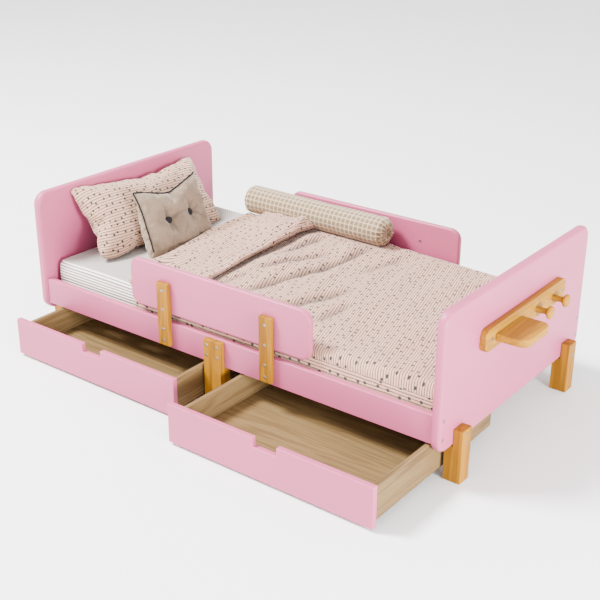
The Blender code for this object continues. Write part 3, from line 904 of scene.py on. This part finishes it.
def duvet(fabric):
    """Tucked in at both sides of the mattress, and turned back over itself at the head."""
    middle, normal, half, place = map(np.array, zip(*main_rows(), *turned_rows()))
    half[:, 0] = half[:, -1] = 0
    half[0] = half[-1] = 0
    points, faces, top, under = padded_sheet(middle, normal, half)
    place = both_sides(place)
    c, s = cos(STRIPE_TURN), sin(STRIPE_TURN)
    made = piece("striped_duvet", points + np.array(MIDDLE), faces, fabric,
                 place @ np.array([[c, -s], [s, c]]))
    stripe_the_drop(made, place, top, under)
    low_down = middle[..., 2] < STILL_BELOW
    held = np.concatenate([under[:len(MAIN_ROWS)].ravel(), top[low_down], under[low_down],
                           top[len(MAIN_ROWS) + len(FOLD_ROWS):].ravel()])
    lip = np.concatenate([top[-5:].ravel(), under[-5:].ravel()])
    swell(made, 20, 2.0, 0.025, 0.008, 0.6, lip, held)
    clear_of_bolster(made)
    # Paint shade into the duvet's creases and below the flap's loose edge.
    mark_fold_shade(made, duvet_fold_shade(points, top, under))
    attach(made, BODY)
    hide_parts("duvet")
    subdivide(made)


def clear_of_bolster(soft_piece):
    """Press a soft piece down and forward where the bolster lies on it."""
    low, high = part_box("bolster")
    radius = (high.z - low.z) / 2 + 0.001
    centre = np.array([(low.y + high.y) / 2, (low.z + high.z) / 2])
    points = points_of(soft_piece)
    off = points[:, 1:] - centre
    inside = (np.linalg.norm(off, axis=1) < radius) & (abs(points[:, 0] - (low.x + high.x) / 2)
                                                       < (high.x - low.x) / 2 + 0.01)
    off = off[inside]
    off[:, 1] = np.minimum(off[:, 1], -0.25 * radius)
    points[inside, 1:] = centre + off / np.linalg.norm(off, axis=1)[:, None] * radius
    set_points(soft_piece, points)


# -------- pillow

PILLOW_FLAT = (0.560, 0.290)
PILLOW_SIZE = (0.528, 0.252, 0.100)
PILLOW_CENTRE = (-0.6005, -0.0155, 0.3570)
PILLOW_ACROSS = Vector((0.014, 0.510, -0.019))
PILLOW_UP = Vector((-0.146, 0.011, 0.193))
PILLOW_HALF_THICK = 0.034
PILLOW_STEP = 0.0075
PILLOW_BOW = (0.020, 0.110)


def turned(across, up):
    """The rows of a turn that lays X along across and Y near up."""
    x_axis = across.normalized()
    z_axis = x_axis.cross(up).normalized()
    return np.array([x_axis, z_axis.cross(x_axis), z_axis])


def rest_on(points, floor, wall=-9.0):
    """Flatten a soft shape where it meets the mattress and the headboard."""
    points[:, 2] = np.maximum(points[:, 2], floor)
    points[:, 0] = np.maximum(points[:, 0], wall)


def pillow(fabric):
    """Two striped panels sewn round their edge and stuffed, leaning on the headboard."""
    wide, tall = PILLOW_FLAT[0] / 2, PILLOW_FLAT[1] / 2
    a, b = np.meshgrid(*(grade(-edge, edge, PILLOW_STEP, fine=(0.003,)) for edge in (wide, tall)),
                       indexing="ij")
    across, upward = a / wide, b / tall
    bow_a = a * (1 + PILLOW_BOW[0] * (1 - upward ** 4) * across ** 2)
    bow_b = b * (1 + PILLOW_BOW[1] * (1 - across ** 4) * upward ** 2)
    middle = np.stack([bow_a, bow_b, 0 * a], 2)
    fullness = np.clip((1 - across ** 4) * (1 - upward ** 4), 0, 1)
    points, faces, top, _ = padded_sheet(middle, np.array([0, 0, 1.0]),
                                         PILLOW_HALF_THICK * np.sqrt(fullness))
    points[:, 2] += soft_noise(points, 0.05, 11) * 0.002 * (np.abs(points[:, 2]) > 0.003)
    made = piece("striped_pillow", points, faces, fabric, both_sides(np.stack([b, a], 2)))
    seam = np.concatenate([top[0], top[-1], top[:, 0], top[:, -1]])
    swell(made, 26, 5.0, 0.06, 0.060, 0.25, seam)
    shape = points_of(made)
    low, high = shape.min(0), shape.max(0)
    shape = (shape - (high + low) / 2) * (np.array(PILLOW_SIZE) / (high - low))
    shape = shape @ turned(PILLOW_ACROSS, PILLOW_UP) + np.array(at(*PILLOW_CENTRE))
    rest_on(shape, ON_MATTRESS, HEAD_HIGH.x + 0.0015)
    set_points(made, shape)
    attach(made, BODY)
    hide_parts("pillow")
    subdivide(made)


# -------- button cushion

CUSHION_FACE = (0.275, 0.195)
CUSHION_DEPTH = 0.044
CUSHION_CORNER = Vector((-0.441, -0.163, 0.278))
CUSHION_UP = Vector((-0.075, 0.0, 0.180))
CUSHION_STEP = 0.0036
CUSHION_LAYERS = 8
CUSHION_CROWN = 0.015
TOP_SAG = 0.033
SIDE_BOW = 0.004
HEEL = 0.028
BUTTONS = ((0.375, 0.420), (0.735, 0.425))
# Creases round each button: the direction of each one in degrees, and its length
BUTTON_CREASES = (((118, 0.060), (97, 0.035), (8, 0.085), (262, 0.045), (287, 0.055), (236, 0.035),
                   (165, 0.03)),
                  ((101, 0.050), (74, 0.038), (324, 0.075), (272, 0.030), (20, 0.035)))
BUTTON_RADIUS = 0.0116
BUTTON_DEPTH = 0.015
BUTTON_OUT = 0.0080
CREASE_DEPTH = 0.0078
CREASE_WIDTH = 0.0036
PIPING_RADIUS = 0.0025
PIPING_OUT = 0.0024
PIPING_FORWARD = 0.0016
PIPING_SMOOTHINGS = 3


def cushion_points(s, t, depth):
    """Places on the sagging face shape, where s and t run from 0 to 1, at a depth behind it."""
    sag = TOP_SAG * (2 * np.minimum(s, 1 - s)) ** 1.1 * t ** 3
    waist = SIDE_BOW * np.sin(pi * t) * (1 - 2 * s)
    lift = SIDE_BOW * np.sin(pi * s) * (1 - t) ** 2
    taper = 0.72 - 0.52 * ease(t, 0.35, 1.0)
    heel = HEEL * depth / CUSHION_DEPTH * (1 - t) ** 4
    return np.stack([s * CUSHION_FACE[0] + waist, t * CUSHION_FACE[1] - sag - lift - heel,
                     -depth * taper], -1)


def cushion_mesh(s, t):
    """Points and faces of a box cushion, with the numbers of its face grids and its border."""
    columns, rows = s.shape
    front = np.arange(columns * rows).reshape(columns, rows)
    back = front + columns * rows
    border = np.concatenate([front[:, 0], front[-1, 1:], front[-2::-1, -1], front[0, -2:0:-1]])
    crown = CUSHION_CROWN * np.maximum(0, np.sin(pi * s) * np.sin(pi * t)) ** 0.55
    points = []
    for depth, out in ((0.0, 1), (CUSHION_DEPTH, -1)):
        face = cushion_points(s, t, depth)
        face[..., 2] += out * crown
        points.append(face.reshape(-1, 3))
    rings = [border]
    for k in range(1, CUSHION_LAYERS):
        depth = CUSHION_DEPTH * k / CUSHION_LAYERS
        points.append(cushion_points(s.ravel()[border], t.ravel()[border], depth))
        rings.append(2 * columns * rows + (k - 1) * len(border) + np.arange(len(border)))
    rings = np.array(rings + [border + columns * rows])
    faces = np.concatenate([np.stack([cells(front), cells(back)[..., ::-1]], 2).reshape(-1, 4),
                            cells(wrapped(rings)).reshape(-1, 4)])
    return np.concatenate(points), faces, front, back, border


def pull_buttons(points, front, back):
    """Press the dents of the buttons in, and give the points that they hold."""
    held = []
    for s, t in BUTTONS:
        for grid, pull in ((front, BUTTON_DEPTH), (back, -BUTTON_DEPTH * 0.8)):
            for v in grid.ravel():
                off = points[v, :2] - np.array(CUSHION_FACE) * (s, t)
                gap = np.linalg.norm(off)
                turn = atan2(*off)
                uneven = 1 + 0.35 * noise.noise(Vector((3 * cos(turn), 3 * sin(turn), s * 9)))
                points[v, 2] -= pull * 1.35 * uneven * np.exp(-gap / 0.021)
                if gap < BUTTON_RADIUS * 0.9:
                    held.append(v)
    return held


def button_creases(points):
    """How deep each point lies in the creases that run out from the buttons."""
    pulled = np.zeros(len(points))
    for spot, creases in zip(BUTTONS, BUTTON_CREASES):
        off = points[:, :2] - np.array(CUSHION_FACE) * spot
        for degrees, length in creases:
            way = np.array([cos(radians(degrees)), sin(radians(degrees))])
            along = off @ way
            bent = off @ np.array([-way[1], way[0]]) + 0.004 * np.sin(along * 70 + degrees)
            fade = np.clip(1 - along / length, 0, 1) * (along > 0)
            width = CREASE_WIDTH + 0.002 * fade
            pulled = np.maximum(pulled, fade ** 0.7 * np.exp(-(bent / width) ** 2))
    return pulled


def cushion(velvet, lit_side_velvet, trim):
    """A box cushion: two faces and a gusset, black piping and two buttons pulled in."""
    s, t = np.meshgrid(*(np.linspace(0, 1, round(edge / CUSHION_STEP) + 1) for edge in CUSHION_FACE),
                       indexing="ij")
    points, faces, front, back, border = cushion_mesh(s, t)
    held = pull_buttons(points, front, back)
    points[:, 2] += soft_noise(points, 0.04, 17) * 0.0012
    made = piece("button_cushion_body", points, faces, velvet)
    # The gusset takes a paler copy of the face velvet: painted light, as where the gusset's pile
    # catches more light than the faces.
    made.data.materials.append(lit_side_velvet)
    for face in made.data.polygons[2 * (s.shape[0] - 1) * (s.shape[1] - 1):]:
        face.material_index = 1
    swell(made, 20, 3.2, 0.045, 0.012, 0.2, np.append(border, border + s.size), held)

    turn = turned(Vector((0, 1, 0)), CUSHION_UP)
    local = points_of(made)
    pulled = np.zeros(len(local))
    inner = front[1:-1, 1:-1].ravel()
    pulled[inner] = button_creases(local[inner])
    local[:, 2] -= CREASE_DEPTH * pulled
    # Painted shade: the same crease depth darkens the velvet in its creases.
    mark_fold_shade(made, pulled)
    shape = local @ turn + np.array(at(*CUSHION_CORNER))
    rest_on(shape, ON_MATTRESS)
    set_points(made, shape)
    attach(made, BODY)
    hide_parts("button_cushion")
    subdivide(made)

    # piping along the top and left edges
    outline = shape[np.append(border[s.shape[0] + s.shape[1] - 2:], border[0])]
    outward = outline - shape[border].mean(0)
    outward /= np.linalg.norm(outward, axis=1, keepdims=True)
    outline += outward * PIPING_OUT + turn[2] * PIPING_FORWARD
    for _ in range(PIPING_SMOOTHINGS):
        outline[1:-1] = (outline[:-2] + outline[1:-1] + outline[2:]) / 3
    cord = tube("cushion_piping", outline, PIPING_RADIUS, trim)
    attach(cord, BODY)
    for number, spot in enumerate(BUTTONS, 1):
        under = front[abs(s[:, 0] - spot[0]).argmin(), abs(t[0] - spot[1]).argmin()]
        button(f"cushion_button_{number}", Vector(shape[under] + turn[2] * BUTTON_OUT), turn[2], trim)


def button(name, place, normal, material):
    """A covered button: a low dome with a rolled rim and a stitched dimple."""
    section = [(1.0, -0.0030), (1.04, 0.0), (1.0, 0.0020), (0.86, 0.0032), (0.55, 0.0040),
               (0.22, 0.0038), (0.10, 0.0026)]
    sides = 28
    turn = facing(normal)
    points = [place + turn @ Vector((r * BUTTON_RADIUS * cos(a), r * BUTTON_RADIUS * sin(a), z))
              for r, z in section for a in turns(sides)]
    made = piece(name, points, ring_faces(len(section), sides), material)
    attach(made, BODY)


# -------- bolster

BOLSTER_CORNER = 0.026
BOLSTER_GATHERED = 0.006
BOLSTER_STEP = 0.008
BOLSTER_SIDES = 120
BOLSTER_WAIST = 0.0012
GATHER_REACH = 0.045
GATHER_DEPTH = 0.0040
END_DIP = 0.010
PLEATS = 17
PLEAT_DEPTH = 0.0020
WAVE_DEPTH = 0.0012


def bolster_section(radius, length):
    """Radius and place along the bolster of each ring, out over one end and in over the other."""
    knee = radius - BOLSTER_CORNER
    section = [(r, 0.0) for r in np.linspace(BOLSTER_GATHERED, knee, 9)]
    section += [(knee + BOLSTER_CORNER * sin(a), BOLSTER_CORNER * (1 - cos(a)))
                for a in np.linspace(0, pi / 2, 9)[1:]]
    straight = length - 2 * BOLSTER_CORNER
    count = int(straight / BOLSTER_STEP)
    end = section[::-1]
    section += [(radius, BOLSTER_CORNER + straight * i / count) for i in range(1, count)]
    return np.array(section + [(r, length - x) for r, x in end])


def bolster(fabric):
    """A round bolster with its checked cover gathered to the middle of each end."""
    low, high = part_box("bolster")
    radius = (high.z - low.z) / 2
    length = high.x - low.x
    centre = (low + high) / 2
    section = bolster_section(radius, length)
    points = []
    for r, x in section:
        near, inward, seed = (x, 1, 3.0) if x < length / 2 else (length - x, -1, 9.0)
        cap = 1 - min(1.0, near / GATHER_REACH)
        dip = END_DIP * max(0.0, 1 - r / (radius * 0.55)) if near < 0.001 else 0.0
        for a in turns(BOLSTER_SIDES):
            gathers = noise.noise(Vector((cos(a) * 4.5, sin(a) * 4.5, seed)))
            pleats = sin(a * PLEATS + 4 * gathers)
            fold = cap ** 1.5 * (GATHER_DEPTH * gathers + PLEAT_DEPTH * pleats) * min(1.0, r / 0.02)
            wave = WAVE_DEPTH * noise.noise(Vector((x * 18, cos(a) * 1.8, sin(a) * 1.8)))
            out = r + fold + wave - BOLSTER_WAIST * sin(pi * x / length) ** 2
            swing = dip + (0.005 * cap * (gathers + 0.6 * pleats) if near < 0.01 else 0.0)
            points.append((low.x + x + swing * inward, centre.y + out * sin(a),
                           max(centre.z + out * cos(a), low.z + 0.0015)))
    made = piece("checked_bolster", points, ring_faces(len(section), BOLSTER_SIDES), fabric)
    wrap_pattern(made, section, BOLSTER_SIDES, radius)
    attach(made, BODY)
    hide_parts("bolster")


def wrap_pattern(made, section, sides, radius):
    """Lay the cloth along and round the bolster, meeting in one seam."""
    way = np.append(0, np.cumsum(np.linalg.norm(np.diff(section, axis=0), axis=1)))
    layer = made.data.uv_layers.new(name="cloth")
    for face in made.data.polygons:
        at_seam = len(face.vertices) == 4 and any(v % sides == sides - 1 for v in face.vertices)
        for loop in face.loop_indices:
            ring, k = divmod(made.data.loops[loop].vertex_index, sides)
            round_it = (k or sides) if at_seam else k
            layer.data[loop].uv = (way[ring], 2 * pi * round_it / sides * radius)


# -------- stage

CAMERA_PLACE = Vector((1.8241, -2.4044, 1.5190))
CAMERA_TURN = radians(37.24)
CAMERA_TILT = radians(-23.818)
CAMERA_ROLL = radians(0.29)
CAMERA_LENS = 66.54
SKY_STRENGTH = 2.0
FLOOR_SIZE = 40.0
# Round lamps that face the bed: the place of each one, its size and its power
LAMPS = {"key_light": ((-2.9, -2.2, 5.2), 1.8, 1550.0),
         "side_light": ((3.8, -1.1, 0.75), 1.2, 420.0)}


def stage():
    corners = [(x * FLOOR_SIZE, y * FLOOR_SIZE, 0) for x, y in ((-1, -1), (1, -1), (1, 1), (-1, 1))]
    floor = piece("floor", corners, [(0, 1, 2, 3)], floor_finish())
    floor.location.z = -0.0005

    scene = bpy.context.scene
    scene.world = bpy.data.worlds.new("studio")
    scene.world.use_nodes = True
    sky = scene.world.node_tree.nodes["Background"].inputs
    sky["Color"].default_value = (1.0, 1.0, 1.0, 1.0)
    sky["Strength"].default_value = SKY_STRENGTH
    for name, (place, size, power) in LAMPS.items():
        light = bpy.data.lights.new(name, "AREA")
        light.shape = "DISK"
        light.size = size
        light.energy = power
        lamp = new_object(name, light)
        lamp.location = place
        lamp.rotation_euler = facing(place).to_euler()

    camera = new_object("camera", bpy.data.cameras.new("camera"))
    camera.data.lens = CAMERA_LENS
    camera.data.sensor_width = 36.0
    camera.data.clip_end = 100.0
    camera.matrix_world = (Matrix.Translation(CAMERA_PLACE + MIDDLE)
                           @ Matrix.Rotation(CAMERA_TURN, 4, "Z")
                           @ Matrix.Rotation(pi / 2 + CAMERA_TILT, 4, "X")
                           @ Matrix.Rotation(CAMERA_ROLL, 4, "Z"))
    scene.camera = camera


# -------- build

def board_finishes():
    """A function that gives the material of a CAD node from its name and its slot."""
    pine = {axis: wooden("pine_along_" + axis, axis, (0.31, 0.134, 0.004), (0.20, 0.077, 0.003))
            for axis in "xyz"}
    rack_pine = wooden("rack_pine", "y", (0.35, 0.162, 0.008), (0.235, 0.097, 0.006))
    oak = {axis: wooden("oak_along_" + axis, axis, (0.17, 0.107, 0.043), (0.11, 0.064, 0.025))
           for axis in "xy"}
    plain = {
        # the paler second colour stands for rubbed wear and painted highlight on the edges
        "pink_paint": painted("satin_pink", (0.46, 0.088, 0.182), (0.74, 0.162, 0.322)),
        "grey_wheel": moulded("grey_wheel_plastic", (0.07, 0.07, 0.075)),
        "pale_pine": wooden("bare_pine", "y", (0.66, 0.43, 0.20), (0.48, 0.27, 0.10), 0.6),
    }

    def finish_for(name, slot_name):
        if slot_name == "oak_board":
            return oak["y"] if name.endswith("_side") else oak["x"]
        if slot_name == "honey_pine":
            low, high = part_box(name)
            longest = list(high - low).index(max(high - low))
            return rack_pine if name.startswith("rack") else pine["xyz"[longest]]
        return plain.get(slot_name) or bpy.data.materials[slot_name]

    return finish_for


def main():
    dress_boards(board_finishes())
    metal = plated()
    bed_fasteners(metal)
    drawer_fasteners(metal)
    mattress(sheet_fabric())
    duvet(striped_fabric("striped_duvet_cotton", DUVET_STRIPE, (0.60, 0.350, 0.240),
                         (0.105, 0.044, 0.029), 0.0240, 0.0038))
    pillow(striped_fabric("striped_pillow_cotton", PILLOW_STRIPE, (0.56, 0.340, 0.224),
                          (0.145, 0.066, 0.043), 0.0250, 0.0041))
    # The gusset's velvet is a paler copy of the face velvet: painted light.
    cushion(velvet_fabric("taupe_velvet_pile", (0.25, 0.175, 0.115), (0.16, 0.108, 0.068)),
            velvet_fabric("taupe_velvet_side", (0.32, 0.225, 0.145), (0.24, 0.16, 0.10)), trimming())
    bolster(checked_fabric())
    stage()


main()
